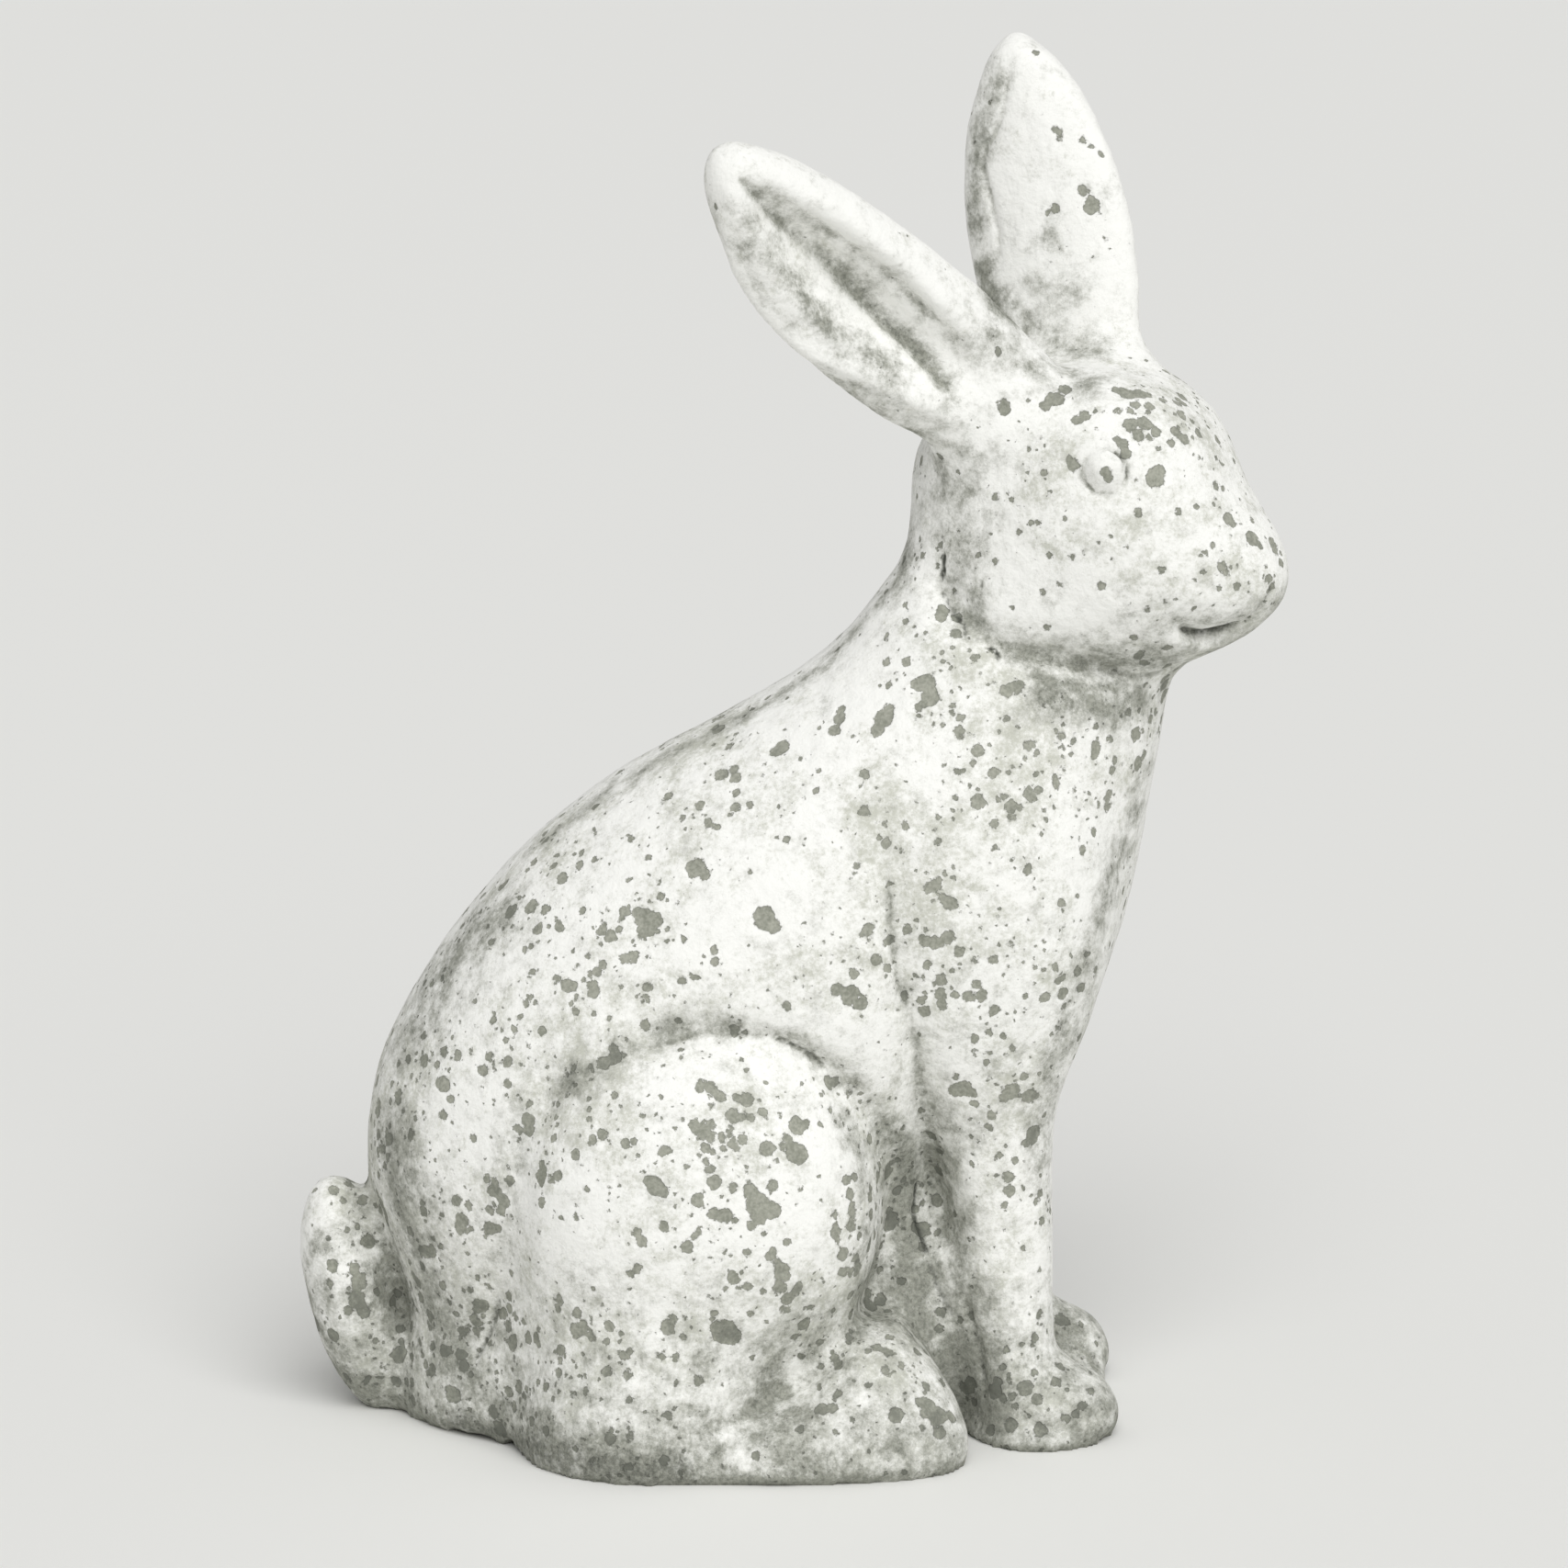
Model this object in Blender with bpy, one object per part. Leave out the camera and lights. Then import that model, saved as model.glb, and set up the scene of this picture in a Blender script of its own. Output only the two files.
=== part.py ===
"""Seated rabbit, a garden statue cast in one piece of cement.

The figure is built the way a sculptor builds it in clay. Lumps and tapered limbs melt into each
other, hollows are scooped out of the ears, and creases are pressed in where one form meets the
next. Each form is an ellipsoid, a limb or an ear with its own named place and size. A Remesh
modifier skins the rough lumps, every point of that skin is then drawn onto the melted surface,
and a cut at the ground leaves the flat underside that the statue stands on.

The rabbit sits along X and looks towards +X, with its head turned to its right, towards -Y.
"""

import math
from dataclasses import dataclass

import bmesh
import bpy
import numpy as np
from mathutils import Euler, Matrix, Vector

# Driving size, in metres
HEIGHT = 0.400  # ground to the tip of the upright ear

# The pose is drawn in units of about a millimetre, and scaled to the height at the end.
# How finely the skin is worked, in drawn units
SKIN_STEP = 3.0
PULLS = 5  # times that every point is drawn onto the surface
SETTLES = 3  # times that the skin is evened out and drawn back on
TRIANGLES = 9700
PROBE = 0.05  # step at which the surface's slope is read
FLATTEST = 0.05  # a slope squared, below which a pull grows no longer
LONGEST_PULL = 6.0

ROOT_BLUNT = 10.0  # how blunt the ears are at their roots, inside the head
NARROWEST = 0.8  # half width that an ear keeps at its very tip
RIM_MELT = 3.0  # rounding of the rim round an ear's hollow
CREASE_FADE = 4.0  # over which a crease fades in sideways


@dataclass(frozen=True)
class Lump:
    """An ellipsoid of clay: centre and half sizes in drawn units, and its turn in degrees."""

    centre: tuple
    radii: tuple
    pitch: float = 0.0  # front end up, in the side view
    yaw: float = 0.0  # front end towards +Y
    roll: float = 0.0  # top towards -Y

    def turn(self):
        angles = (math.radians(self.roll), math.radians(-self.pitch), math.radians(self.yaw))
        return Euler(angles, "XYZ").to_matrix()

    def distance(self, points):
        local = (points - np.array(self.centre)) @ np.array(self.turn())
        radii = np.array(self.radii)
        near = np.linalg.norm(local / radii, axis=1)
        slope = np.linalg.norm(local / radii**2, axis=1)
        return near * (near - 1.0) / np.maximum(slope, 1e-9)

    def rough(self, mesh, frame):
        stretch = Matrix.Diagonal(self.radii).to_4x4()
        place = Matrix.Translation(self.centre) @ self.turn().to_4x4() @ stretch
        bmesh.ops.create_icosphere(mesh, subdivisions=3, radius=1.0, matrix=frame @ place)


@dataclass(frozen=True)
class Limb:
    """A round limb that tapers from one end to the other."""

    start: tuple
    end: tuple
    start_radius: float
    end_radius: float

    def distance(self, points):
        start, along = np.array(self.start), np.array(self.end) - np.array(self.start)
        share = np.clip((points - start) @ along / (along @ along), 0.0, 1.0)
        away = np.linalg.norm(points - start - share[:, None] * along, axis=1)
        return away - self.start_radius - share * (self.end_radius - self.start_radius)

    def rough(self, mesh, frame):
        steps = 8
        for step in range(steps + 1):
            share = step / steps
            centre = Vector(self.start).lerp(Vector(self.end), share)
            radius = self.start_radius + share * (self.end_radius - self.start_radius)
            place = frame @ Matrix.Translation(centre)
            bmesh.ops.create_icosphere(mesh, subdivisions=2, radius=radius, matrix=place)


@dataclass(frozen=True)
class Ear:
    """A leaf-shaped ear, with rims left standing round the hollow on the side that faces out."""

    root: tuple  # on the head
    tip: tuple
    outward: tuple  # the way that the hollow faces
    half_widths: tuple  # at the root, halfway, and at the tip before it is rounded
    bow: float  # how far its middle line bends across, halfway
    thickness: float  # half of it, along the middle
    scoop_half_width: float
    scoop_depth: float
    scoop_lift: float  # how far out of the ear the middle of the scooping form is held
    scoop_offset: float  # of the hollow from the ear's middle line
    scoop_lean: float  # how far the hollow moves across for each unit that it goes in
    scoop_shares: tuple  # where the hollow starts and ends, as shares of the ear's length
    blunt: float = 5.0  # how blunt the tip is

    def axes(self):
        along = Vector(self.tip) - Vector(self.root)
        length = along.length
        along.normalize()
        out = Vector(self.outward)
        out = (out - along * out.dot(along)).normalized()
        return along, along.cross(out), out, length

    def half_width(self, share):
        root, middle, tip = self.half_widths
        share = np.clip(share, 0.0, 1.0)
        plain = (
            root * 2.0 * (share - 0.5) * (share - 1.0)
            + middle * 4.0 * share * (1.0 - share)
            + tip * 2.0 * share * (share - 0.5)
        )
        ends = (1.0 - share**self.blunt) * (1.0 - (1.0 - share) ** ROOT_BLUNT)
        return np.maximum(plain * np.sqrt(ends), NARROWEST)

    def local(self, points):
        along, across, out, length = self.axes()
        place = (points - np.array(self.root)) @ np.array([along, across, out]).T
        share = place[:, 0] / length
        place[:, 1] -= self.bow * 4.0 * share * (1.0 - share)
        return place, share, length

    def distance(self, points):
        place, share, length = self.local(points)
        width = self.half_width(share)
        depth = np.minimum(self.thickness, width)
        ring = np.hypot(place[:, 1] / width, place[:, 2] / depth)
        leaf = (ring - 1.0) * depth
        leaf = np.maximum(leaf, np.maximum(place[:, 0] - length, -place[:, 0] - self.thickness))
        return soft_cut(leaf, self.scoop(place, share), RIM_MELT)

    def scoop(self, place, share):
        start, end = self.scoop_shares
        middle, reach = (start + end) / 2.0, (end - start) / 2.0
        run = np.clip((share - middle) / reach, -1.5, 1.5)
        taper = self.half_width(share) / self.half_width(np.array([middle]))
        width = self.scoop_half_width * taper
        depth = self.scoop_depth + self.scoop_lift
        inward = self.thickness + self.scoop_lift - place[:, 2]
        aside = place[:, 1] - self.scoop_offset - self.scoop_lean * inward
        ring = np.sqrt((aside / width) ** 2 + (inward / depth) ** 2 + run**2)
        return (ring - 1.0) * depth

    def rough(self, mesh, frame):
        along, across, out, length = self.axes()
        turn = Matrix((along, across, out)).transposed().to_4x4()
        steps = 16
        for step in range(steps):
            share = step / steps
            width = float(self.half_width(np.array([share]))[0])
            depth = min(self.thickness, width)
            bend = across * (self.bow * 4.0 * share * (1.0 - share))
            centre = Vector(self.root) + along * (share * length) + bend
            stretch = Matrix.Diagonal((length / steps * 1.5, width, depth)).to_4x4()
            place = frame @ Matrix.Translation(centre) @ turn @ stretch
            bmesh.ops.create_icosphere(mesh, subdivisions=2, radius=1.0, matrix=place)


@dataclass(frozen=True)
class Crease:
    """A line pressed in, or raised where its depth is negative, drawn in the side view."""

    points: tuple  # (forward, up) places
    depth: float
    half_width: float
    side: float = 0.0  # how far out sideways it starts to show

    def offset(self, points):
        side_view = points[:, [0, 2]]
        away = np.full(len(points), np.inf)
        for start, end in zip(self.points, self.points[1:]):
            start, along = np.array(start), np.array(end) - np.array(start)
            share = np.clip((side_view - start) @ along / (along @ along), 0.0, 1.0)
            gap = np.linalg.norm(side_view - start - share[:, None] * along, axis=1)
            away = np.minimum(away, gap)
        shown = np.clip((np.abs(points[:, 1]) - self.side) / CREASE_FADE, 0.0, 1.0)
        return self.depth * shown * np.exp(-((away / self.half_width) ** 2))


@dataclass(frozen=True)
class Mass:
    """Forms that melt into one, and then into what was built before them."""

    forms: tuple
    melt: float  # width of the fillet where it meets what was built before
    within: float = 0.0  # width of the fillets between its own forms
    paired: bool = False  # drawn once, on the left, for both sides

    def distance(self, points):
        places = on_the_left(points) if self.paired else points
        distance = self.forms[0].distance(places)
        for form in self.forms[1:]:
            distance = soft_join(distance, form.distance(places), self.within)
        return distance

    def rough(self, mesh, frame):
        for form in self.forms:
            form.rough(mesh, frame)
            if self.paired:
                form.rough(mesh, frame @ MIRROR)


def ring(forward, up, radius):
    """A closed circle of points in the side view."""
    steps = 16
    turns = [math.tau * step / steps for step in range(steps + 1)]
    return tuple((forward + radius * math.cos(t), up + radius * math.sin(t)) for t in turns)


MIRROR = Matrix.Diagonal((1.0, -1.0, 1.0, 1.0))

# The body, in the order in which its masses are laid on
TRUNK = (
    Lump((-46, 0, 79), (81, 61, 80)),
    Lump((-19, 0, 122), (74, 60, 74), pitch=40),
    Lump((14, 0, 152), (60, 53, 58.5), pitch=45),
    Lump((43, 0, 180), (50, 45, 54)),
    Lump((54, 0, 150), (31, 37, 36)),
    Lump((58, 0, 206), (37, 34, 42)),
)
NECK = Lump((65, 0, 232), (36, 29, 46))
SEAT = Lump((-54, 0, 9), (65, 51, 44))
BELLY = Lump((20, 0, 30), (46, 37, 62))
BREAST_WEB = Lump((43, 0, 50), (21, 22, 78))
SHOULDER = Lump((54, 30, 148), (28, 22, 52), pitch=5)
FORELEG = Limb((51, 26, 125), (60, 30, 18), 20, 12)
FORE_PAD = Lump((65.5, 0, 0), (26.5, 51, 9))
FOREPAW = Lump((71, 32, 8), (20, 17, 14))
HIND_FOOT = Lump((-6, 60, 3), (50, 24, 19))
TOES = Lump((25, 57, 9), (20, 19, 18))
INSTEP = Lump((14, 46, 20), (22, 25, 22))
HAUNCH = Lump((-31, 44, 72), (55, 39, 55))
HOCK = Lump((-45, 46, 8), (37, 37, 44))
TAIL = Lump((-130, 0, 33), (15, 18, 37), pitch=14)
BODY = (
    Mass(TRUNK, melt=0, within=28),
    Mass((NECK,), melt=24),
    Mass((SEAT,), melt=24),
    Mass((BELLY,), melt=14),
    Mass((BREAST_WEB,), melt=10),
    Mass((SHOULDER,), melt=16, paired=True),
    Mass((FORELEG,), melt=12, paired=True),
    Mass((FORE_PAD,), melt=3),
    Mass((FOREPAW,), melt=9, paired=True),
    Mass((HIND_FOOT, TOES, INSTEP), melt=8, within=12, paired=True),
    Mass((HAUNCH, HOCK), melt=10, within=20, paired=True),
    Mass((TAIL,), melt=7),
)
FLANK_CREASE = Crease(
    points=((24, 172), (25, 158), (27, 140), (31, 112), (35, 85), (40, 60)),
    depth=3.5,
    half_width=6.0,
    side=20.0,
)
HAUNCH_CREASE = Crease(
    points=((-45, 124), (-27, 126), (-7, 122), (6, 115), (18, 101), (24, 82), (25, 60), (21, 43)),
    depth=4.0,
    half_width=4.5,
    side=30.0,
)
RUMP_CREASE = Crease(
    points=((-69, 111), (-79, 93), (-84, 54), (-89, 38), (-95, 28)),
    depth=2.5,
    half_width=5.0,
    side=30.0,
)
FOOT_FOLD = Crease(
    points=((22, 45), (13, 37), (3, 28), (-8, 21), (-20, 15), (-35, 10)),
    depth=2.5,
    half_width=4.5,
    side=30.0,
)
TAIL_CREASE = Crease(
    points=((-127, 62), (-124, 53), (-120, 41), (-117, 31)),
    depth=3.0,
    half_width=5.0,
    side=4.0,
)
BODY_CREASES = (FLANK_CREASE, HAUNCH_CREASE, RUMP_CREASE, FOOT_FOLD, TAIL_CREASE)

# The head's own frame is at the middle of the skull: forward, left and up
HEAD_AT = (73.5, 0.0, 271.0)
HEAD_YAW = -22.0
SKULL = Lump((-3, 0, 0), (41, 34, 35))
FACE = Lump((20, 0, -7), (34, 30, 34))
MUZZLE = Lump((45, 0, -22), (22, 20, 17))
JAW = Lump((25, 0, -31), (34, 22, 19), pitch=25)
BROW = Lump((16, 12, 11), (25, 20, 20))
CHEEK = Lump((12, 16, -16), (35, 19, 25))
EYE = (25.0, 33.0, 12.0)
EYEBALL = Lump(EYE, (8, 5, 7.5), yaw=-12)
EYE_RING_RADIUS = 6.8
HEAD = (
    Mass((SKULL, FACE, MUZZLE, JAW), melt=0, within=16),
    Mass((BROW,), melt=16, paired=True),
    Mass((CHEEK,), melt=16, paired=True),
    Mass((EYEBALL,), melt=2, paired=True),
)
EYE_RING = Crease(
    points=ring(EYE[0], EYE[2], EYE_RING_RADIUS), depth=0.8, half_width=1.8, side=20.0
)
MOUTH = Crease(
    points=((42, -32.5), (46.5, -35.5), (52, -36), (58, -34)), depth=3.5, half_width=2.2, side=5.0
)
JAW_LINE = Crease(
    points=((-23, -26), (-15, -34), (-7, -39), (3, -42), (12, -44), (22, -48)),
    depth=4.0,
    half_width=5.0,
    side=12.0,
)
HEAD_CREASES = (EYE_RING, MOUTH, JAW_LINE)
HEAD_MELT = 12  # of the head with the neck
EAR_MELT = 14

RIGHT_EAR = Ear(
    root=(63, -12, 293),
    tip=(-26, -48, 371.5),
    outward=(0.1, -1.0, 0.15),
    half_widths=(21, 23.5, 14),
    bow=-4.5,
    thickness=10.5,
    scoop_half_width=14,
    scoop_depth=12.5,
    scoop_lift=6,
    scoop_offset=-3,
    scoop_lean=0.3,
    scoop_shares=(0.14, 0.94),
    blunt=7.0,
)
LEFT_EAR = Ear(
    root=(80, 14, 288),
    tip=(60, 37, 398),
    outward=(0.4, 1.0, 0.0),
    half_widths=(17, 25.5, 11),
    bow=0.0,
    thickness=10,
    scoop_half_width=17,
    scoop_depth=10,
    scoop_lift=6,
    scoop_offset=0,
    scoop_lean=0.0,
    scoop_shares=(0.15, 0.92),
    blunt=9.0,
)


def soft_join(first, second, melt):
    """Two distances as one form, with a fillet about as wide as melt where they meet."""
    share = np.clip(0.5 + 0.5 * (second - first) / melt, 0.0, 1.0)
    return second + (first - second) * share - melt * share * (1.0 - share)


def soft_cut(form, tool, melt):
    """A form less a tool, with the edge of the cut rounded."""
    return -soft_join(-form, tool, melt)


def on_the_left(points):
    """The same points on the left of the middle, so that one form stands for its pair."""
    return points * (1.0, 0.0, 1.0) + np.abs(points) * (0.0, 1.0, 0.0)


def built(masses, points):
    """Distance to masses melted together in their order."""
    distance = masses[0].distance(points)
    for mass in masses[1:]:
        distance = soft_join(distance, mass.distance(points), mass.melt)
    return distance


def head_frame():
    turn = Matrix.Rotation(math.radians(HEAD_YAW), 4, "Z")
    return Matrix.Translation(HEAD_AT) @ turn


def in_head(points):
    turn = np.array(head_frame().to_3x3())
    return (points - np.array(HEAD_AT)) @ turn


def statue(points):
    """Distance from each point to the surface of the whole figure, negative inside."""
    places = in_head(points)
    distance = soft_join(built(BODY, points), built(HEAD, places), HEAD_MELT)
    for ear in (RIGHT_EAR, LEFT_EAR):
        distance = soft_join(distance, ear.distance(points), EAR_MELT)
    for crease in BODY_CREASES:
        distance = distance + crease.offset(points)
    for crease in HEAD_CREASES:
        distance = distance + crease.offset(places)
    return distance


def draw_on(points):
    """Each point moved along the slope until it lies on the surface."""
    for _ in range(PULLS):
        here = statue(points)
        slope = np.stack(
            [(statue(points + PROBE * step) - here) / PROBE for step in np.eye(3)], axis=1
        )
        steep = np.maximum((slope**2).sum(axis=1), FLATTEST)
        pull = np.clip(here / steep, -LONGEST_PULL, LONGEST_PULL)
        points = points - pull[:, None] * slope
    return points


def rough_lumps():
    """All forms as plain overlapping shapes in one mesh, in drawn units."""
    mesh = bmesh.new()
    for form in (*BODY, RIGHT_EAR, LEFT_EAR):
        form.rough(mesh, Matrix.Identity(4))
    for form in HEAD:
        form.rough(mesh, head_frame())
    bmesh.ops.recalc_face_normals(mesh, faces=mesh.faces)
    return mesh


def evaluated(thing):
    graph = bpy.context.evaluated_depsgraph_get()
    mesh = bpy.data.meshes.new_from_object(thing.evaluated_get(graph))
    thing.modifiers.clear()
    thing.data = mesh
    return mesh


def read_points(mesh):
    points = np.empty(len(mesh.vertices) * 3, np.float32)
    mesh.vertices.foreach_get("co", points)
    return points.reshape(-1, 3).astype(float)


def write_points(mesh, points):
    mesh.vertices.foreach_set("co", points.astype(np.float32).ravel())
    mesh.update()


def skin(thing):
    """Wraps the rough lumps in one even skin and draws it onto the melted surface."""
    wrap = thing.modifiers.new("Skin", "REMESH")
    wrap.mode = "VOXEL"
    wrap.voxel_size = SKIN_STEP
    mesh = evaluated(thing)
    write_points(mesh, draw_on(read_points(mesh)))
    for _ in range(SETTLES):
        even = bmesh.new()
        even.from_mesh(mesh)
        bmesh.ops.smooth_vert(
            even, verts=even.verts, factor=0.5, use_axis_x=True, use_axis_y=True, use_axis_z=True
        )
        even.to_mesh(mesh)
        even.free()
        write_points(mesh, draw_on(read_points(mesh)))
    return mesh


def thin_out(thing):
    """Fewer, larger triangles where the surface is calm, and small ones where it is carved."""
    sides = sum(len(face.vertices) - 2 for face in thing.data.polygons)
    fewer = thing.modifiers.new("Fewer", "DECIMATE")
    fewer.ratio = min(1.0, TRIANGLES / sides)
    evaluated(thing)


def stand_on_ground(mesh):
    """Cuts the figure flat at the ground, moves its middle over the origin and gives it its height."""
    cut = bmesh.new()
    cut.from_mesh(mesh)
    geometry = [*cut.verts, *cut.edges, *cut.faces]
    bmesh.ops.bisect_plane(
        cut, geom=geometry, dist=1e-4, plane_co=(0, 0, 0), plane_no=(0, 0, -1), clear_outer=True
    )
    edges = [edge for edge in cut.edges if edge.is_boundary]
    bmesh.ops.contextual_create(cut, geom=edges)
    bmesh.ops.triangulate(cut, faces=cut.faces)
    bmesh.ops.recalc_face_normals(cut, faces=cut.faces)
    places = np.array([vert.co for vert in cut.verts])
    low, high = places.min(axis=0), places.max(axis=0)
    middle = Vector(((low[0] + high[0]) / 2.0, (low[1] + high[1]) / 2.0, 0.0))
    bmesh.ops.translate(cut, verts=cut.verts, vec=-middle)
    unit = HEIGHT / (high[2] - low[2])
    bmesh.ops.scale(cut, verts=cut.verts, vec=(unit, unit, unit))
    cut.to_mesh(mesh)
    cut.free()


def cement():
    """Whitewashed grey cement."""
    material = bpy.data.materials.new("whitewashed_cement")
    material.use_nodes = True
    shader = material.node_tree.nodes["Principled BSDF"]
    shader.inputs["Base Color"].default_value = (0.72, 0.73, 0.69, 1.0)
    shader.inputs["Roughness"].default_value = 0.9
    shader.inputs["Metallic"].default_value = 0.0
    return material


def main():
    for thing in list(bpy.data.objects):
        bpy.data.objects.remove(thing)
    rabbit = bpy.data.objects.new("rabbit", bpy.data.meshes.new("rabbit"))
    bpy.context.scene.collection.objects.link(rabbit)
    lumps = rough_lumps()
    lumps.to_mesh(rabbit.data)
    lumps.free()
    skin(rabbit)
    thin_out(rabbit)
    stand_on_ground(rabbit.data)
    rabbit.data.shade_smooth()
    rabbit.data.materials.append(cement())


main()
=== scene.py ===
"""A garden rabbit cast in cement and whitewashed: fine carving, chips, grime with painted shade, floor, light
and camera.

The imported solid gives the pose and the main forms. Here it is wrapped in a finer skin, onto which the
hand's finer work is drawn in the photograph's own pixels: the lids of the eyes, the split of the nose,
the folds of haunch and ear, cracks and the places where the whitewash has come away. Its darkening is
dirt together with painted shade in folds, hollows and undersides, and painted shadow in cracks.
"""

import logging
import math
from dataclasses import dataclass
from enum import Enum
from typing import Any, Optional

import bmesh
import bpy
import numpy as np
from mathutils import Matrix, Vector, noise
from mathutils.bvhtree import BVHTree
from mathutils.kdtree import KDTree

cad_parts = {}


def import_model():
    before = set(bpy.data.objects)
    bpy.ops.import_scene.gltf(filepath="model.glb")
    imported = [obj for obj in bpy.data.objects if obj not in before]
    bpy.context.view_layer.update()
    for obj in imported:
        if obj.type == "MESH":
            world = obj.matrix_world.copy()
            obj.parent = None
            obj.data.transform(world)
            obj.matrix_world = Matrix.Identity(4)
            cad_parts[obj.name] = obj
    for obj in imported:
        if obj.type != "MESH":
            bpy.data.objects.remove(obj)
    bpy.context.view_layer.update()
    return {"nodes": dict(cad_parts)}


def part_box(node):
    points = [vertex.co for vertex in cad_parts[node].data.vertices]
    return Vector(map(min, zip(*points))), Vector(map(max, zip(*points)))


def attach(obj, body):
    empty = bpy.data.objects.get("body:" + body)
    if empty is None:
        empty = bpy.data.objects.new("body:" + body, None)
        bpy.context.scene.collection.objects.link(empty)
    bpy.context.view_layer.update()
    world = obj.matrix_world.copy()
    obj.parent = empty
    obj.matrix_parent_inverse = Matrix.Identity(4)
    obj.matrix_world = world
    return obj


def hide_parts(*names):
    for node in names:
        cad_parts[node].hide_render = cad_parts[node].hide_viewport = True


log = logging.getLogger("rabbit")

MM = 0.001
NODE = "rabbit"
PIECE = "rabbit_cast"

Pixel = tuple[float, float]
Lobe = tuple[float, float, float]
SOFT = {"interpolation_type": "SMOOTHSTEP"}  # a range that eases at both ends
COLOURS = {"data_type": "RGBA"}
ADD = {"operation": "ADD"}
MATH, RANGE, NOISE = "ShaderNodeMath", "ShaderNodeMapRange", "ShaderNodeTexNoise"
SHARE, UNDER, OVER, MIXED = 0, 6, 7, 2  # a Mix node's sockets where it mixes colours


class Side(Enum):
    """Which sides of the rabbit marks are made on."""

    NEAR = "only the side towards the camera"
    BODY = "also mirrored across the body's middle"
    HEAD = "also mirrored across the turned head's own middle"


@dataclass(frozen=True)
class Viewpoint:
    """Where the photograph was taken from."""

    image: float = 1707.0  # pixels each way
    pixel: float = 0.26566 * MM  # at the middle of the rabbit
    distance: float = 1.8045
    elevation: float = 11.0  # degrees above level, square to the rabbit's side
    aim: tuple[float, float, float] = (-0.0009, 0.0, 0.1856)
    sensor: float = 36.0

    def back(self) -> Vector:
        """The direction from the rabbit to the camera."""
        lift = math.radians(self.elevation)
        return Vector((0.0, -math.cos(lift), math.sin(lift)))

    def place(self) -> Vector:
        """Where the camera stands."""
        return Vector(self.aim) + self.back() * self.distance

    def ray(self, pixel: Pixel) -> Vector:
        """The direction in which the camera sees a pixel.

        Args:
            pixel: Across and down, in the photograph's pixels.

        Returns:
            A unit vector.
        """
        across = (pixel[0] - self.image / 2.0) * self.pixel
        down = (pixel[1] - self.image / 2.0) * self.pixel
        right = Vector((1.0, 0.0, 0.0))
        up = self.back().cross(right)
        return (right * across - up * down - self.back() * self.distance).normalized()

    def camera(self) -> bpy.types.Object:
        """Adds the camera and makes it the scene's.

        Returns:
            The camera.
        """
        camera = bpy.data.objects.new("camera", bpy.data.cameras.new("camera"))
        bpy.context.scene.collection.objects.link(camera)
        camera.location = self.place()
        camera.rotation_mode = "QUATERNION"
        camera.rotation_quaternion = (-self.back()).to_track_quat("-Z", "Y")
        camera.data.sensor_width = self.sensor
        camera.data.lens = self.sensor * self.distance / (self.image * self.pixel)
        camera.data.dof.use_dof = False
        camera.data.clip_end = 60.0
        bpy.context.scene.camera = camera
        return camera


@dataclass(frozen=True)
class Stroke:
    """A line drawn over the casting with a tool, or a run of dirt and painted shade along it."""

    pixels: tuple[Pixel, ...]
    width: float  # half of it, in millimetres
    depth: float = 0.0  # millimetres pressed in, and raised where it is negative
    grime_and_shade: float = 0.0  # how dark the dirt and painted shade in it are, from 0 to 1
    bare: float = 0.0  # how worn the whitewash is, from -1 where it is sound to 1 where it has gone
    crack_and_shadow: float = 0.0  # how black a thin line of painted shadow and soil sits in it, from 0 to 1
    tapered: bool = True  # whether it runs out at both ends

    def fine_pixels(self, step: float = 4.0) -> list[tuple[float, float, float]]:
        """The line as close-set pixels on a smooth curve through its points.

        Args:
            step: Pixels from one to the next.

        Returns:
            Across, down and strength, from 0 at a tapered end to 1.
        """
        points = [Vector((*pixel, 0.0)) for pixel in self.pixels]
        if len(points) == 1:
            return [(points[0].x, points[0].y, 1.0)]
        ends = [points[0] * 2.0 - points[1], *points, points[-1] * 2.0 - points[-2]]
        curve = []
        for before, start, end, after in zip(ends, ends[1:], ends[2:], ends[3:]):
            count = max(2, round((end - start).length / step))
            for index in range(count):
                t = index / count
                bend = (end - before) * t + (before * 2 - start * 5 + end * 4 - after) * t**2
                bend += (start * 3 - before - end * 3 + after) * t**3
                curve.append(start + bend * 0.5)
        curve.append(points[-1])
        shares = [index / (len(curve) - 1) for index in range(len(curve))]
        # A tapered end starts weak and is at full strength a sixth of the way along.
        return [
            (p.x, p.y, min(1.0, 6.0 * min(s, 1.0 - s) + 0.12) if self.tapered else 1.0)
            for p, s in zip(curve, shares)
        ]


@dataclass(frozen=True)
class HeadFrame:
    """Where the turned head's own middle plane lies."""

    centre: tuple[float, float, float] = (0.0787, 0.0, 0.2724)
    yaw: float = -22.0

    def mirror(self, point: Vector) -> Vector:
        """The same place on the other side of the head."""
        turn = math.radians(self.yaw)
        left = Vector((-math.sin(turn), math.cos(turn), 0.0))
        return point - left * (2.0 * (point - Vector(self.centre)).dot(left))


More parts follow.
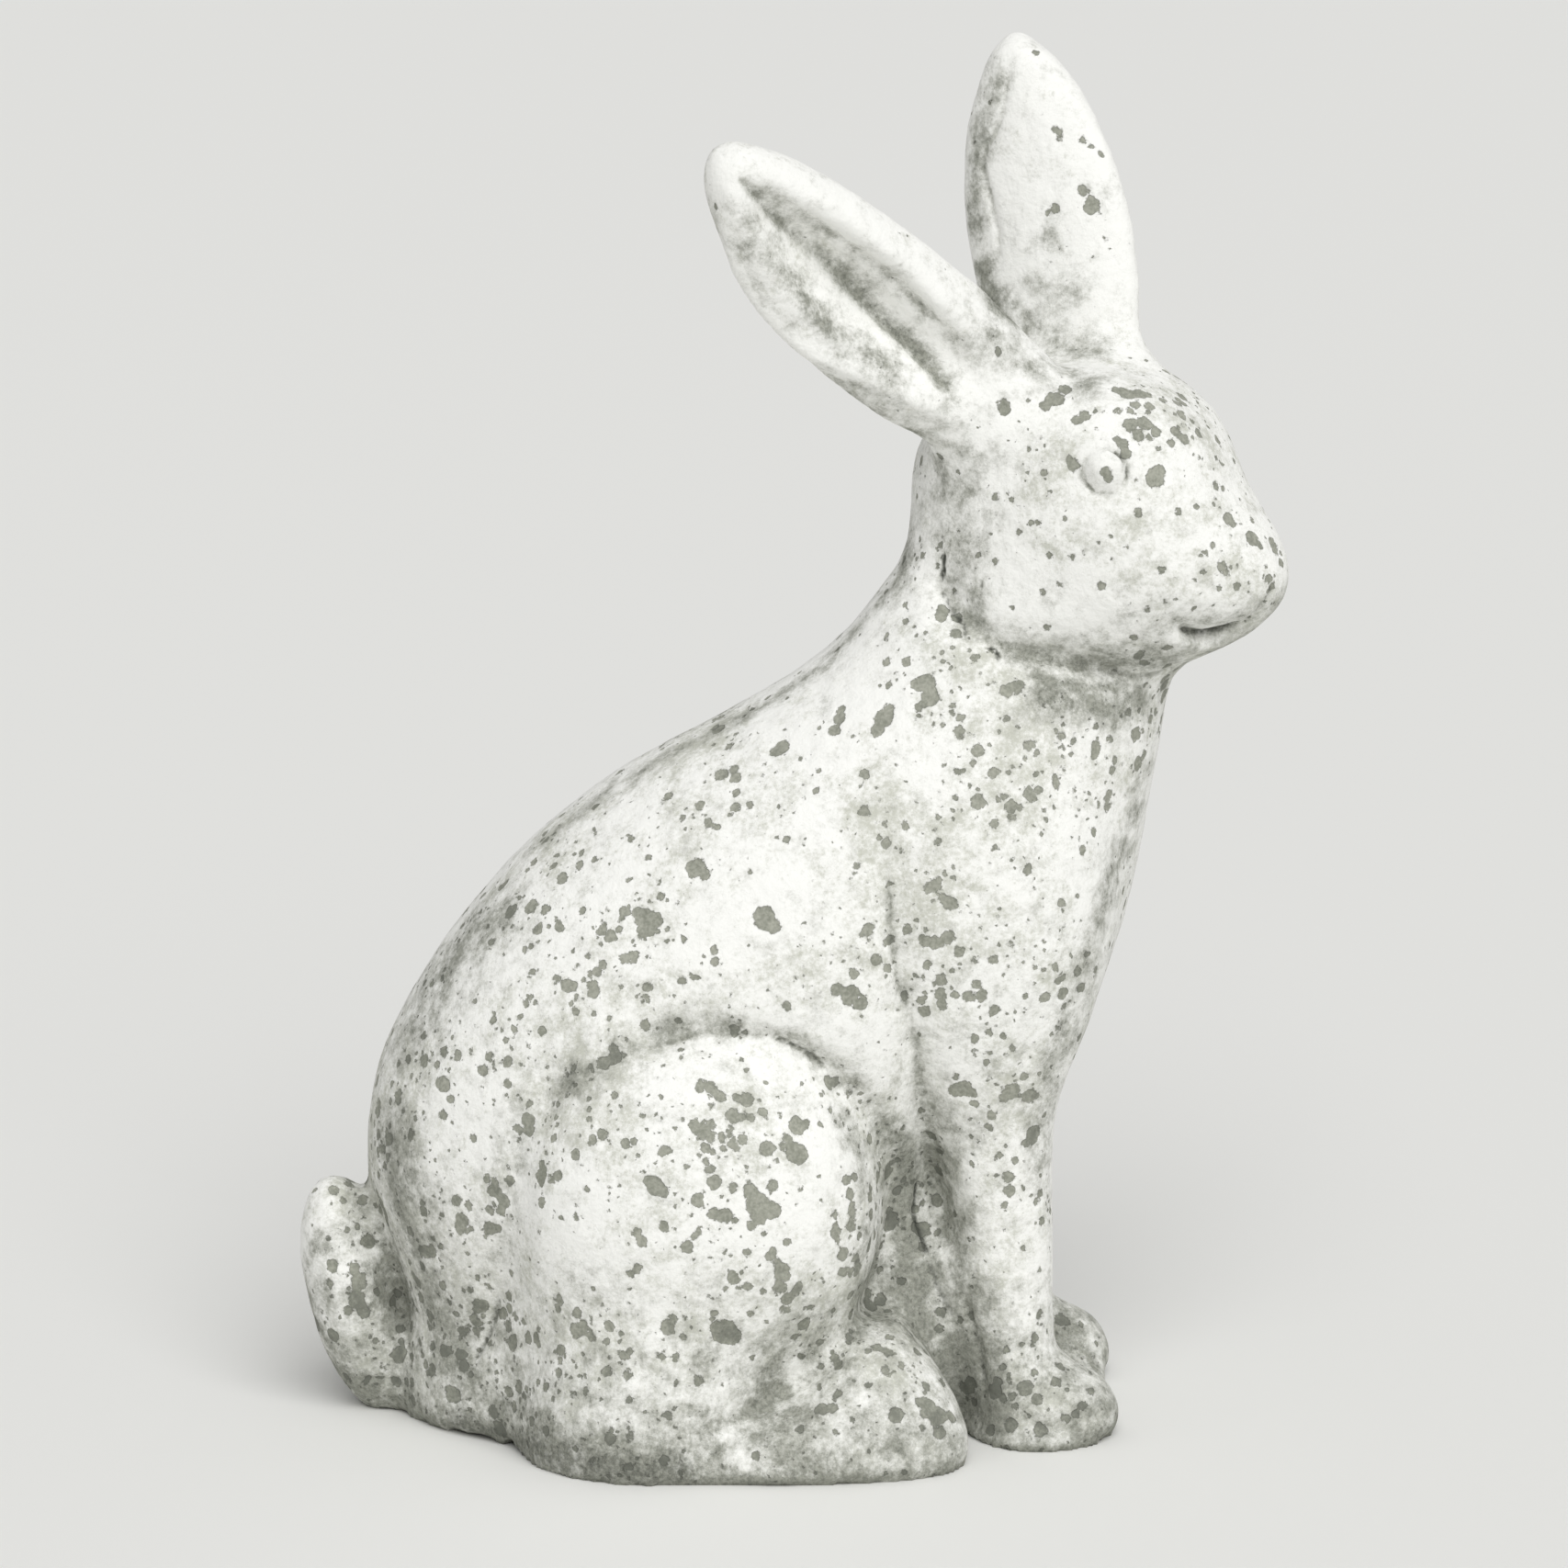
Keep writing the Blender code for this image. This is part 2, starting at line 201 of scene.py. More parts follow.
class Skin:
    """The casting's surface as arrays, on which marks are placed by pixel and drawn by distance."""

    def __init__(self, mesh: bpy.types.Mesh, view: Viewpoint, head: HeadFrame) -> None:
        """Reads the mesh.

        Args:
            mesh: The casting, closed, with its faces outwards.
            view: Where the photograph was taken from.
            head: The turned head's middle.
        """
        self.mesh = mesh
        self.view = view
        self.head = head
        self.points = self.read("vertices", "co", 3)
        self.normals = self.read("vertices", "normal", 3)
        self.edges = self.read("edges", "vertices", 2, np.int32)
        faces = [tuple(face.vertices) for face in mesh.polygons]
        self.tree = BVHTree.FromPolygons([Vector(point) for point in self.points], faces)
        count = len(self.points)
        # Per vertex: depth pressed in, dirt and painted shade, wear, and painted shadow with soil in thin
        # lines.
        self.depth, self.grime_and_shade, self.bare, self.crack_and_shadow = np.zeros((4, count))
        self.chip = np.full(count, 4.0)

    def read(self, group: str, name: str, width: int, kind: type = np.float32) -> np.ndarray:
        """A property of all vertices or edges, as rows.

        Args:
            group: Vertices or edges.
            name: The property.
            width: Numbers in each row.
            kind: The type that Blender stores.

        Returns:
            One row for each item.
        """
        items = getattr(self.mesh, group)
        values = np.empty(len(items) * width, kind)
        items.foreach_get(name, values)
        rows = values.reshape(-1, width)
        return rows if kind is np.int32 else rows.astype(float)

    def touch(self, pixel: Pixel) -> Optional[Vector]:
        """The place on the casting that a pixel shows, or None beside it."""
        return self.tree.ray_cast(self.view.place(), self.view.ray(pixel))[0]

    def other_side(self, place: Vector, side: Side) -> Vector:
        """The mirrored place, on the surface.

        Args:
            place: A point on the near side.
            side: Which middle it is mirrored across.

        Returns:
            The nearest point of the surface to its mirror image.
        """
        away = self.head.mirror(place) if side is Side.HEAD else place * Vector((1.0, -1.0, 1.0))
        return self.tree.find_nearest(away)[0]

    def lines(self, stroke: Stroke, side: Side) -> list[np.ndarray]:
        """A stroke's places on the surface, a set for each side that it is made on.

        Args:
            stroke: The stroke.
            side: The sides.

        Returns:
            Rows of a point and its strength.
        """
        found = []
        for across, down, strength in stroke.fine_pixels():
            place = self.touch((across, down))
            if place is not None:
                found.append((place, strength))
        sets = [found]
        if side is not Side.NEAR:
            sets.append([(self.other_side(place, side), strength) for place, strength in found])
        return [np.array([(*place, strength) for place, strength in each]) for each in sets if each]

    def draw(self, stroke: Stroke, side: Side) -> None:
        """Presses a stroke in, darkens what it covers with dirt and painted shade, or wears it.

        Args:
            stroke: The stroke.
            side: Where it is made.
        """
        reach = stroke.width * MM * 2.6  # beyond it, next to nothing is left of the stroke
        for line in self.lines(stroke, side):
            low, high = line[:, :3].min(axis=0) - reach, line[:, :3].max(axis=0) + reach
            near = np.flatnonzero(((self.points > low) & (self.points < high)).all(axis=1))
            if not len(near):
                continue
            gaps = np.linalg.norm(self.points[near][:, None] - line[None, :, :3], axis=2)
            nearest = gaps.argmin(axis=1)
            gap = gaps[np.arange(len(near)), nearest] / (stroke.width * MM)
            share = np.exp(-(gap**2)) * line[nearest, 3]
            self.depth[near] += stroke.depth * share
            # Dirt and painted shade, and painted shadow with soil in thin lines, where the stroke covers.
            self.grime_and_shade[near] = np.maximum(self.grime_and_shade[near], stroke.grime_and_shade * share)
            self.bare[near] += stroke.bare * share
            self.crack_and_shadow[near] = np.maximum(self.crack_and_shadow[near], stroke.crack_and_shadow * share)

    def chip_off(self, centre: Vector, radius: float, reach: float = 3.0 * MM) -> None:
        """Takes the whitewash off around a place.

        Args:
            centre: The place.
            radius: In metres.
            reach: How far outside it the distance to its edge is still worked out.
        """
        gap = np.linalg.norm(self.points - np.array(centre), axis=1) - radius
        near = gap < reach
        self.chip[near] = np.minimum(self.chip[near], gap[near] / MM)

    def evened(self, values: np.ndarray, times: int) -> np.ndarray:
        """Values averaged with their neighbours' along the edges.

        Args:
            values: A row for each vertex.
            times: How often.

        Returns:
            The smoothed values.
        """
        first, second = self.edges[:, 0], self.edges[:, 1]
        count = len(self.points)
        degree = np.bincount(first, minlength=count) + np.bincount(second, minlength=count)
        rows = values.reshape(count, -1)
        for _ in range(times):
            total = np.stack(
                [
                    np.bincount(first, column[second], count)
                    + np.bincount(second, column[first], count)
                    for column in rows.T
                ],
                axis=1,
            )
            rows = (rows + total / degree[:, None]) / 2.0
        return rows.reshape(values.shape)

    def hollowness(self, times: int, scale: float) -> np.ndarray:
        """How deep each point lies below its surroundings, from -1 on an edge to 1 in a fold.

        Args:
            times: How far the surroundings reach, in smoothing steps.
            scale: The depth in millimetres that counts as 1.

        Returns:
            A value for each vertex.
        """
        above = ((self.evened(self.points, times) - self.points) * self.normals).sum(axis=1)
        return np.clip(above / (scale * MM), -1.0, 1.0)

    def shelter(self, rays: int = 48, reach: float = 0.07, every: int = 12) -> np.ndarray:
        """How far each point is closed in by the rest of the casting, from 0 to 1.

        Args:
            rays: Directions looked in from each point.
            reach: How far each of them looks, in metres.
            every: One vertex in so many is looked from, and the others take their neighbours'.

        Returns:
            A value for each vertex.
        """
        turn = math.pi * (3.0 - math.sqrt(5.0))
        ball = []
        for index in range(rays * 2):
            rise = 1.0 - (2.0 * index + 1.0) / (rays * 2)
            flat = math.sqrt(1.0 - rise * rise)
            ball.append(Vector((flat * math.cos(turn * index), flat * math.sin(turn * index), rise)))
        chosen = range(0, len(self.points), every)
        seeds = KDTree(len(chosen))
        closed = np.zeros(len(chosen))
        for row, index in enumerate(chosen):
            place, normal = Vector(self.points[index]), Vector(self.normals[index])
            start = place + normal * (0.5 * MM)
            hits, total = 0.0, 0.0
            for way in ball:
                lean = way.dot(normal)
                if lean <= 0.05:
                    continue
                total += lean
                if self.tree.ray_cast(start, way, reach)[0] is not None:
                    hits += lean
            closed[row] = hits / total
            seeds.insert(place, row)
        seeds.balance()
        found = np.zeros(len(self.points))
        for index, point in enumerate(self.points):
            parts = seeds.find_n(point, 3)
            weights = [1.0 / (gap + MM) for _, _, gap in parts]
            total = sum(closed[row] * weight for (_, row, _), weight in zip(parts, weights))
            found[index] = total / sum(weights)
        return self.evened(found, 3)

    def ripple(self, size: float, seed: float) -> np.ndarray:
        """Soft noise over the surface.

        Args:
            size: Of its lumps, in millimetres.
            seed: Moves the pattern.

        Returns:
            A value from about -1 to 1 for each vertex.
        """
        shift = Vector((seed, seed * 1.7, seed * 2.3))
        scale = 1.0 / (size * MM)
        return np.array([noise.noise(Vector(point) * scale + shift) for point in self.points])

    def keep(self, name: str, values: np.ndarray) -> None:
        """Stores a value for each vertex under a name.

        Args:
            name: The attribute.
            values: The values.
        """
        layer = self.mesh.attributes.new(name, "FLOAT", "POINT")
        layer.data.foreach_set("value", values.astype(np.float32))

    def press(self, low: np.ndarray, high: np.ndarray, foot: float = 0.4 * MM) -> None:
        """Moves each vertex in by the depth drawn on it, within the solid's own box.

        Args:
            low: The box's lowest corner.
            high: Its highest.
            foot: The height that stays as it is, on the ground.
        """
        standing = self.points[:, 2] > low[2] + foot
        moved = self.points - self.normals * (self.depth * standing * MM)[:, None]
        self.points = np.clip(moved, low, high)
        self.mesh.vertices.foreach_set("co", self.points.astype(np.float32).ravel())
        self.mesh.update()


# Marks, in the photograph's pixels. A stroke's width and depth are in millimetres.
EYE: Pixel = (1203.0, 513.0)
EYE_RADIUS = 25.0
MOUTH: Pixel = (1316.0, 686.0)
FEATURES = (EYE, MOUTH)


def arc(centre: Pixel, radius: float, start: float, end: float) -> tuple[Pixel, ...]:
    """Points on a round stroke.

    Args:
        centre: Its middle.
        radius: In pixels.
        start: Degrees, clockwise from the right.
        end: Degrees.

    Returns:
        The pixels.
    """
    steps = max(3, round(abs(end - start) / 20.0))
    turns = [math.radians(start + (end - start) * step / steps) for step in range(steps + 1)]
    return tuple((centre[0] + radius * math.cos(t), centre[1] + radius * math.sin(t)) for t in turns)


HEAD_MARKS = (
    # The ring around the eye with painted shadow and soil in it, its brow and its button.
    Stroke(arc(EYE, EYE_RADIUS, -80, 45), 0.9, depth=1.4, grime_and_shade=0.95, crack_and_shadow=0.6),
    Stroke(arc(EYE, EYE_RADIUS, 45, 280), 0.8, depth=1.0, grime_and_shade=0.6),
    Stroke(arc(EYE, EYE_RADIUS, 100, 190), 0.8, grime_and_shade=0.9, crack_and_shadow=0.35),
    Stroke(arc(EYE, EYE_RADIUS + 9, -170, 40), 1.0, depth=-0.6),
    Stroke((EYE,), 3.4, depth=-0.8),
    # The mouth with painted shadow and soil in its line, and its lips.
    Stroke(((1283, 680), (1292, 688), (1310, 692), (1330, 688), (1352, 679)), 1.5, 3.0, 1.0, crack_and_shadow=0.7),
    Stroke(((1283, 668), (1310, 678), (1345, 670)), 2.0, -0.5),
    Stroke(((1275, 694), (1305, 706), (1340, 698)), 2.2, -0.8),
    Stroke(((1352, 680), (1366, 668), (1377, 655)), 0.9, 0.7, 0.5, crack_and_shadow=0.4),
    # The crease under cheek and jaw, and the painted shade in and below it.
    Stroke(((1050, 662), (1066, 686), (1100, 704), (1150, 716), (1200, 728), (1245, 738)), 2.2, 1.0, 0.85),
    Stroke(((1100, 708), (1160, 722), (1215, 734), (1250, 736), (1290, 718)), 1.2, 0.6, 0.9, crack_and_shadow=0.45),
    Stroke(((1080, 708), (1130, 718), (1200, 724), (1255, 718), (1310, 704)), 5.5, 0.0, 0.88),
    Stroke(((1100, 732), (1150, 742), (1200, 748), (1250, 742)), 4.5, 0.0, 0.85),
    Stroke(((1100, 748), (1160, 762), (1210, 770), (1262, 756)), 7.5, 0.0, 0.82),
    # Painted shade and dirt behind the cheek.
    Stroke(((1018, 500), (1040, 560), (1045, 620), (1068, 680)), 12.0, 0.0, 0.5),
    Stroke(((1015, 488), (1030, 530), (1052, 560)), 6.0, 0.0, 0.66),
    Stroke(((1028, 640), (1055, 672), (1085, 694)), 5.0, 0.0, 0.7),
    # Sound whitewash on the cheek.
    Stroke(((1090, 560), (1150, 640), (1240, 660)), 14.0, bare=-0.6),
    Stroke(((1110, 548), (1180, 568), (1250, 556), (1310, 590)), 11.0, bare=-0.7),
    Stroke(((1025, 500), (1040, 560), (1050, 650)), 9.0, bare=-0.9),
)
BODY_MARKS = (
    # The fold from shoulder to foreleg, with painted shade in it.
    Stroke(
        ((964, 945), (968, 975), (976, 1056), (987, 1090), (998, 1150), (1003, 1220)),
        1.6, 1.1, 0.75, crack_and_shadow=0.35,
    ),
    Stroke(((985, 1010), (990, 1090), (1002, 1180), (1006, 1260)), 4.0, 0.0, 0.35),
    # The crest of the haunch, with its crack, its dirt and painted shade under its edge.
    Stroke(((838, 1126), (860, 1137), (882, 1149), (903, 1167)), 1.0, 1.3, 1.0, crack_and_shadow=0.6),
    Stroke(((700, 1142), (770, 1124), (840, 1128)), 1.4, 0.5, 0.8, crack_and_shadow=0.3),
    Stroke(((855, 1508), (872, 1478)), 7.0, bare=-0.75),
    Stroke(((845, 1122), (880, 1138), (915, 1160), (950, 1205)), 3.5, 0.0, 0.6),
    Stroke(((640, 1165), (700, 1132), (770, 1116), (838, 1124)), 5.5, 0.3, 0.62),
    Stroke(((590, 1205), (640, 1165), (700, 1140)), 6.5, 0.2, 0.68, 0.5),
    # More or less worn whitewash on rump, haunch and shoulder.
    Stroke(((560, 1000), (650, 1045), (740, 1010)), 12.0, bare=0.15),
    Stroke(((910, 1180), (935, 1280), (930, 1400)), 7.0, bare=0.45),
    Stroke(((440, 1120), (480, 1250), (520, 1380)), 14.0, bare=0.4),
    Stroke(((770, 1190), (840, 1240), (860, 1310)), 10.0, bare=0.4),
    Stroke(((900, 790), (1000, 760), (1100, 860), (1120, 1000)), 12.0, bare=0.3),
    # Painted shade and dirt along the base, and painted shade in front of the haunch.
    Stroke(((450, 1530), (560, 1572), (660, 1598), (800, 1605)), 10.0, 0.0, 1.0, crack_and_shadow=0.5),
    Stroke(((470, 1490), (560, 1540), (680, 1570), (760, 1575)), 9.0, 0.0, 0.75),
    Stroke(((780, 1595), (900, 1595), (1000, 1595)), 9.0, 0.0, 0.7),
    Stroke(((880, 1140), (930, 1180), (960, 1240), (970, 1330)), 5.0, 0.0, 0.5),
    # The crack in the rump and the fold between haunch and foot, with painted shadow in them, and painted
    # shade on the rump and the haunch's front.
    Stroke(((543, 1404), (536, 1440), (524, 1465), (511, 1487)), 1.3, 1.4, 0.9, crack_and_shadow=0.6),
    Stroke(((948, 1420), (925, 1458), (888, 1494), (845, 1522), (780, 1550), (700, 1566)), 3.0, 1.1, 0.62),
    Stroke(((500, 1380), (535, 1450), (580, 1530)), 9.0, 0.0, 0.55),
    Stroke(((1000, 1470), (1025, 1500), (1035, 1540)), 6.0, bare=-0.3),
    Stroke(((565, 1180), (550, 1290), (565, 1420)), 10.0, 0.0, 0.4),
    Stroke(((905, 1190), (935, 1260), (945, 1340), (930, 1400)), 7.0, 0.0, 0.55),
    # Painted shade with some stains on breast, legs, rump, back and nape, darker on edges turned from the
    # light and in the recess by the foreleg.
    Stroke(((1250, 800), (1238, 880), (1200, 990), (1168, 1100), (1140, 1200), (1135, 1350)), 7.5, 0.0, 0.6),
    Stroke(((800, 1040), (860, 950), (900, 860)), 11.0, bare=-0.4),
    Stroke(((1052, 1410), (1058, 1440), (1067, 1479), (1072, 1530)), 1.5, 1.2, 0.95, crack_and_shadow=0.5),
    Stroke(((1000, 1330), (1020, 1400), (1046, 1480), (1060, 1560)), 6.0, 0.0, 0.8),
    Stroke(((985, 1210), (985, 1290), (990, 1370), (1005, 1440), (1030, 1495)), 8.5, 0.0, 1.0),
    Stroke(((425, 1170), (432, 1260), (452, 1360), (490, 1460), (530, 1560)), 15.0, 0.0, 0.75),
    Stroke(((420, 1180), (490, 1050), (580, 965)), 15.0, 0.0, 0.66),
    Stroke(((560, 940), (680, 850), (800, 785), (900, 720), (985, 620)), 5.5, 0.0, 0.6),
    Stroke(((990, 560), (985, 620), (950, 670)), 7.0, 0.0, 0.66),
    Stroke(((950, 1200), (968, 1260), (975, 1330)), 8.0, 0.0, 0.6),
)
NEAR_MARKS = (
    # The worn crown, and painted shadow in the nostril and on the neck behind the ear.
    Stroke(((1200, 420), (1240, 440), (1262, 425), (1285, 470)), 7.0, bare=0.45),
    Stroke(((1381, 634), (1384, 644), (1377, 656), (1370, 672)), 0.9, 1.0, 0.6, crack_and_shadow=0.5),
    Stroke(((1010, 480), (1050, 490), (1100, 498)), 4.0, 0.0, 0.5),
    # The near ear: the line in its hollow, its dirt and painted shade, and its rims with painted shadow under
    # the lower one.
    Stroke(((800, 190), (825, 215), (850, 243), (880, 266)), 1.7, 1.2, 0.85),
    Stroke(((860, 250), (905, 288), (940, 322), (975, 356), (1010, 392), (1052, 444)), 3.2, 2.2, 0.85),
    Stroke(((925, 310), (965, 348), (1000, 380), (1025, 405)), 2.6, 0.6, 1.0, crack_and_shadow=0.35),
    Stroke(((900, 252), (945, 290), (990, 330), (1030, 368)), 3.2, -1.2, bare=-0.35),
    Stroke(((850, 222), (885, 244), (920, 270)), 3.0, -0.8, bare=-0.3),
    Stroke(((850, 208), (905, 238), (945, 266), (985, 296), (1020, 330), (1050, 368)), 3.0, -0.9, bare=-1.0),
    Stroke(((822, 250), (855, 295), (895, 340), (945, 382), (1005, 425)), 6.5, 0.3, 0.68),
    Stroke(
        ((785, 245), (806, 298), (840, 345), (880, 382), (940, 410), (1000, 440), (1050, 462)),
        2.4, -1.9, bare=-0.7,
    ),
    Stroke(((800, 165), (850, 190), (920, 232), (980, 278), (1040, 335), (1085, 395)), 4.5, -0.8),
    Stroke(((865, 402), (900, 424), (950, 456), (1008, 484)), 3.6, 0.3, 1.0, crack_and_shadow=0.35),
    Stroke(((808, 225), (820, 252), (806, 285)), 4.0, 0.0, 0.55),
    # The far ear: its inner edge, its dirt and painted shade, and its worn side.
    Stroke(
        ((1100, 52), (1094, 105), (1084, 140), (1068, 176), (1076, 205), (1085, 250), (1088, 296)),
        1.1, 0.9, 0.6,
    ),
    Stroke(((1088, 50), (1076, 110), (1062, 160), (1060, 220), (1070, 290)), 5.5, 0.3, 0.62),
    Stroke(((1062, 275), (1076, 318), (1105, 350)), 7.0, 0.3, 0.95),
    Stroke(((1175, 305), (1215, 335)), 6.0, bare=0.59),
    Stroke(((1130, 235), (1165, 265), (1160, 290)), 6.0, bare=0.55),
    Stroke(((1105, 335), (1150, 372), (1215, 388)), 6.0, 0.3, 0.62),
    Stroke(((1098, 300), (1140, 318), (1190, 330)), 5.0, 0.0, 0.45),
    Stroke(((1050, 340), (1110, 392), (1170, 412), (1230, 418)), 8.0, 0.0, 0.52),
    Stroke(((1130, 240), (1150, 262), (1160, 285)), 2.5, 0.0, 0.6),
    # The crack between haunch and foreleg, blackened with painted shadow and soil.
    Stroke(((1000, 1288), (996, 1320), (1004, 1345), (1010, 1364)), 0.9, 1.4, 1.0, crack_and_shadow=1.0, tapered=False),
    Stroke(((1010, 1364), (1020, 1400), (1040, 1440)), 1.4, 0.8, 0.8, crack_and_shadow=0.6),
    Stroke(((967, 1304), (985, 1290), (1010, 1292), (1020, 1310)), 2.4, 0.3, 0.3, 0.9),
    # The tail.
    Stroke(((345, 1320), (350, 1400), (366, 1450)), 7.0, 0.0, 0.55),
    Stroke(((385, 1465), (395, 1500)), 8.0, bare=-0.35),
    # Cracks in the neck, blackened with painted shadow and soil.
    Stroke(((1025, 598), (1027, 618), (1023, 638)), 1.0, 1.0, 1.0, crack_and_shadow=1.0),
    Stroke(((1023, 638), (1036, 664), (1050, 682), (1055, 704)), 0.9, 0.9, 0.8, crack_and_shadow=0.85),
    Stroke(((1072, 703), (1084, 708), (1090, 722)), 0.9, 1.0, 0.9, crack_and_shadow=0.95),
    Stroke(((1070, 628), (1066, 644)), 0.9, 0.6, 0.8, crack_and_shadow=0.7),
    # The fold beside the tail and the ridges under it, with painted shade in them.
    Stroke(((405, 1300), (420, 1360), (440, 1430), (448, 1500)), 2.0, 0.8, 0.8, crack_and_shadow=0.3),
    Stroke(((372, 1488), (400, 1500), (440, 1502)), 0.9, 0.5, 0.5),
    Stroke(((380, 1512), (410, 1524), (450, 1524)), 0.9, 0.5, 0.5),
    Stroke(((400, 1536), (430, 1546), (470, 1546)), 0.9, 0.4, 0.5),
    # Painted shade along the paw's and the base's lower edges.
    Stroke(((1110, 1540), (1150, 1556), (1185, 1548), (1205, 1520)), 1.5, 0.8, 0.5),
    Stroke(((480, 1580), (560, 1608), (660, 1630), (800, 1640)), 3.0, 0.0, 0.6),
)
MARKS = {Side.HEAD: HEAD_MARKS, Side.BODY: BODY_MARKS, Side.NEAR: NEAR_MARKS}

# Chips down to the mortar, each as round lobes run together: across, down and radius, in pixels.
FACE_CHIP_RADIUS = 3.6
FACE_CHIPS = (
    (1140, 683), (1268, 655), (1300, 662), (1248, 664), (1327, 640), (1208, 584), (1226, 597), (1166, 606),
    (1130, 570), (1142, 604), (1154, 637), (1135, 644), (1120, 488), (1101, 545), (1141, 538), (1283, 556),
    (1302, 552), (1240, 560), (1320, 595), (1348, 616), (1310, 622), (1262, 488), (1290, 440), (1108, 578),
)
CHIPS: tuple[tuple[Lobe, ...], ...] = (
    ((925, 1084, 11), (912, 1078, 8), (938, 1092, 8)), ((833, 1000, 13), (842, 1008, 8)),
    ((700, 998, 11), (712, 1002, 9), (692, 994, 6)), ((757, 945, 11), (768, 952, 6)),
    ((1018, 1026, 8), (1032, 1021, 8), (1006, 1028, 5)), ((1036, 984, 8), (1027, 979, 6)),
    ((1054, 1085, 7), (1068, 1084, 7)), ((955, 795, 8), (962, 782, 10), (968, 772, 7)),
    ((1003, 745, 9), (1012, 760, 10), (1000, 770, 5)), ((913, 782, 7), (908, 796, 7), (916, 772, 5)),
    ((851, 813, 9), (842, 818, 6)), ((825, 1310, 13), (818, 1298, 9), (842, 1318, 9), (826, 1325, 9)),
    ((714, 1291, 10), (706, 1286, 6), (722, 1298, 6)), ((776, 1322, 7), (790, 1324, 8), (800, 1328, 4)),
    ((851, 1385, 9), (848, 1402, 8), (858, 1413, 8), (846, 1374, 5)),
    ((790, 1450, 14), (782, 1446, 9), (800, 1456, 9)), ((868, 1256, 12), (860, 1250, 6)),
    ((868, 1226, 10), (856, 1240, 6), (876, 1224, 6)), ((774, 1184, 7), (784, 1194, 6), (763, 1180, 5)),
    ((765, 1234, 6), (768, 1250, 6), (770, 1220, 4)),
    ((794, 1230, 5), (804, 1216, 6), (818, 1216, 5), (786, 1240, 4)), ((813, 1196, 8), (802, 1195, 5)),
    ((921, 1285, 6), (926, 1300, 7), (929, 1318, 7), (928, 1334, 7)),
    ((909, 1322, 5), (910, 1340, 7), (912, 1352, 4)), ((918, 1366, 8),), ((726, 1445, 8), (732, 1436, 5)),
    ((627, 1448, 9), (634, 1444, 7)), ((538, 1296, 8), (548, 1308, 8), (545, 1318, 6)),
    ((755, 1347, 6), (748, 1358, 7), (760, 1340, 4)), ((692, 1342, 6), (698, 1352, 6)),
    ((455, 1395, 6), (458, 1412, 7), (460, 1378, 5)), ((1126, 1235, 10), (1118, 1245, 6)),
    ((1010, 1530, 10), (1020, 1545, 8), (1024, 1560, 8), (1003, 1527, 7)),
    ((1160, 1545, 6), (1172, 1540, 5), (1180, 1530, 5)), ((1148, 434, 10), (1160, 424, 7), (1138, 442, 6)),
    ((1092, 440, 7), (1094, 446, 6)), ((1181, 452, 7), (1172, 456, 6), (1190, 448, 4)),
    ((1228, 428, 9), (1242, 428, 8), (1216, 424, 6), (1236, 440, 6)),
    ((1230, 462, 8), (1246, 460, 8), (1240, 474, 7), (1258, 470, 6)),
    ((1222, 482, 7), (1226, 494, 6), (1216, 478, 5)), ((1280, 470, 6), (1290, 478, 6), (1276, 482, 5)),
    ((1258, 520, 11), (1262, 514, 8)), ((1169, 506, 7), (1165, 500, 4)), ((1204, 514, 6), (1206, 520, 5)),
    ((1337, 564, 7), (1342, 570, 5)), ((1364, 586, 9), (1372, 592, 5)), ((1324, 528, 5), (1332, 532, 4)),
    ((1386, 590, 6), (1390, 600, 6), (1396, 612, 5)), ((1331, 616, 6), (1336, 624, 4)), ((1264, 621, 5),),
    ((1199, 638, 5),), ((1087, 383, 5),),
    *(((across, down, FACE_CHIP_RADIUS),) for across, down in FACE_CHIPS), ((1008, 742, 10), (1012, 752, 8)),
    ((1008, 746, 8), (996, 744, 6)), ((985, 658, 4), (988, 664, 3)), ((1150, 142, 5), (1153, 150, 4)),
    ((1178, 152, 4), (1188, 160, 4), (1198, 168, 3)), ((1148, 228, 5), (1140, 232, 4)), ((1200, 238, 3),),
    ((1205, 260, 3),), ((1128, 57, 4),), ((1096, 752, 8), (1108, 748, 8)),
    ((392, 1395, 10), (388, 1415, 10), (396, 1428, 8), (386, 1380, 7)), ((1180, 208, 7), (1189, 224, 9)),
)


